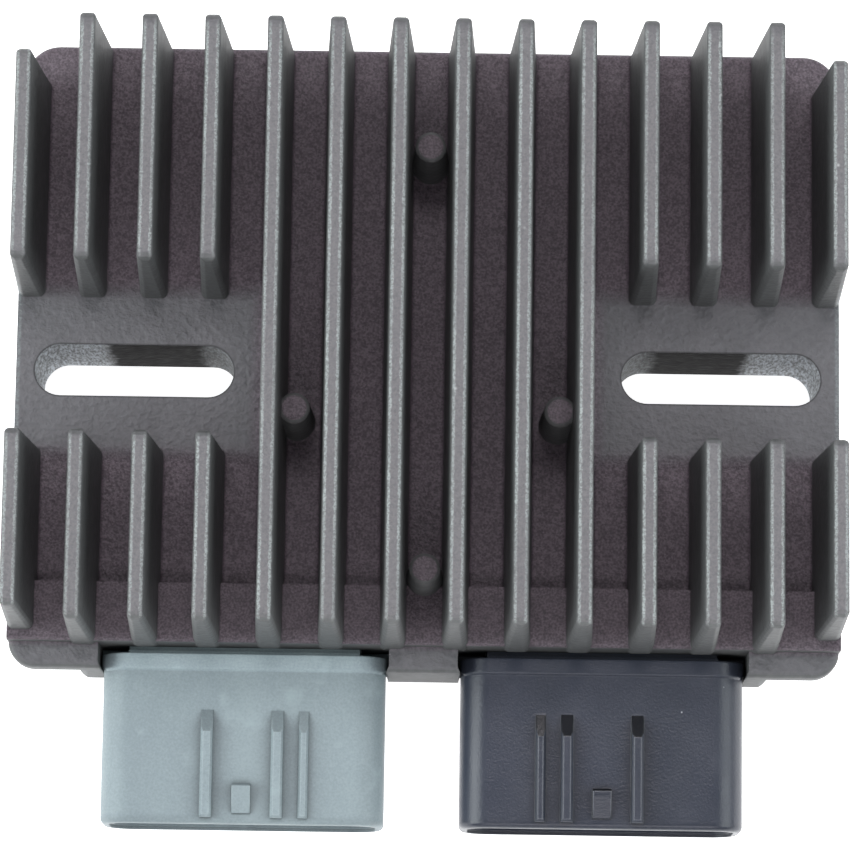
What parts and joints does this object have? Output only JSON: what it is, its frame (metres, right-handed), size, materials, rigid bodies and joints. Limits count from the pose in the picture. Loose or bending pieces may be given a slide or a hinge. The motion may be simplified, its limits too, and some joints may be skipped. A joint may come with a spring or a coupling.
{
  "type": "voltage regulator rectifier",
  "caption": "Finned die-cast case with slotted mounting pads and sealed blade connectors that rectifies and regulates a generator's output",
  "frame": {"origin": "on the back face, midway between the centres of the two mounting slots", "axes": "+Z out through the fins, +X along the line of the two slots, towards the black connector's side, +Y away from the connectors"},
  "size_m": [0.1076, 0.1024, 0.0359],
  "materials": {
    "cast_case": "dark coated die casting, fine grain, matt",
    "grey_plastic": "moulded, satin",
    "black_plastic": "moulded, satin",
    "tinned_brass": "tin plated",
    "insulator": "smooth sheet",
    "device_moulding": "moulded, matt",
    "steel": "zinc plated",
    "board": "solder mask",
    "can": "drawn can",
    "resin": "poured, glossy"
  },
  "bodies": {
    "root": {"housing": "cast_case", "grey_connector": "grey_plastic", "black_connector": "black_plastic", "grey_blade_1": "tinned_brass", "grey_blade_2": "tinned_brass", "grey_blade_3": "tinned_brass", "black_blade_1": "tinned_brass", "black_blade_2": "tinned_brass", "black_blade_3": "tinned_brass", "insulating_sheet": "insulator", "power_device_1": "device_moulding", "power_device_2": "device_moulding", "power_device_3": "device_moulding", "power_device_4": "device_moulding", "power_device_5": "device_moulding", "power_device_6": "device_moulding", "clamp_bar": "steel", "clamp_screws": "steel", "circuit_board": "board", "control_chip": "device_moulding", "filter_capacitor_1": "can", "filter_capacitor_2": "can", "surge_diode": "device_moulding", "gate_resistors": "device_moulding", "potting_resin": "resin"}
  },
  "joints": []
}
